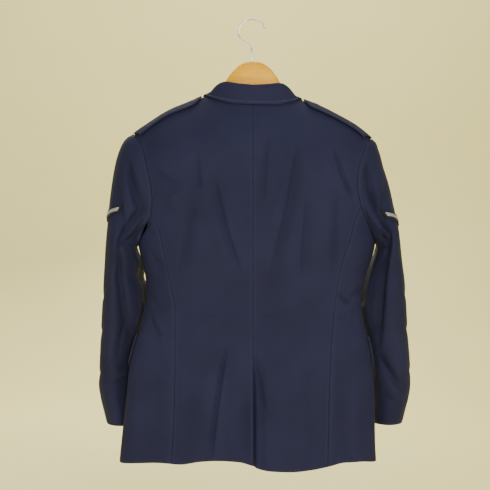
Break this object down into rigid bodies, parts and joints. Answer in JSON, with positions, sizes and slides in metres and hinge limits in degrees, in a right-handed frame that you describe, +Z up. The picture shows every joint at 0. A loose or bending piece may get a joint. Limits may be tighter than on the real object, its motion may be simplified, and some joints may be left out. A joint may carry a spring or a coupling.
{
  "type": "service dress jacket on hanger",
  "caption": "Navy single-breasted uniform jacket with notch lapels, shoulder loops, sleeve rank patches and a centre vent, hanging on a flat wooden hanger with a wire hook.",
  "frame": {"origin": "underside of the hook's crown, the point that rests on whatever holds the hanger", "axes": "+Z up, +X towards the wearer's left, -Y towards the wearer's front; the jacket hangs down along -Z"},
  "size_m": [0.6508, 0.205, 0.9119],
  "materials": {
    "navy_cloth": "wool serge with a fine twill and a faint dry sheen",
    "patch_cloth": "dark felt with a silver-grey stitched stripe",
    "button_metal": "plain domed metal, softly polished",
    "hook_chrome": "plated round wire",
    "hanger_wood": "golden lacquered beech"
  },
  "bodies": {
    "root": {"back_left": "navy_cloth", "back_right": "navy_cloth", "side_left": "navy_cloth", "side_right": "navy_cloth", "front_left": "navy_cloth", "front_right": "navy_cloth", "lapel_left": "navy_cloth", "lapel_right": "navy_cloth", "collar": "navy_cloth", "sleeve_top_left": "navy_cloth", "sleeve_top_right": "navy_cloth", "sleeve_under_left": "navy_cloth", "sleeve_under_right": "navy_cloth", "shoulder_loop_left": "navy_cloth", "shoulder_loop_right": "navy_cloth", "loop_button_left": "button_metal", "loop_button_right": "button_metal", "rank_patch_left": "patch_cloth", "rank_patch_right": "patch_cloth", "pocket_flap_left": "navy_cloth", "pocket_flap_right": "navy_cloth", "front_button_1": "button_metal", "front_button_2": "button_metal", "front_button_3": "button_metal", "hanger_hook": "hook_chrome", "hanger_wood": "hanger_wood"}
  },
  "joints": []
}
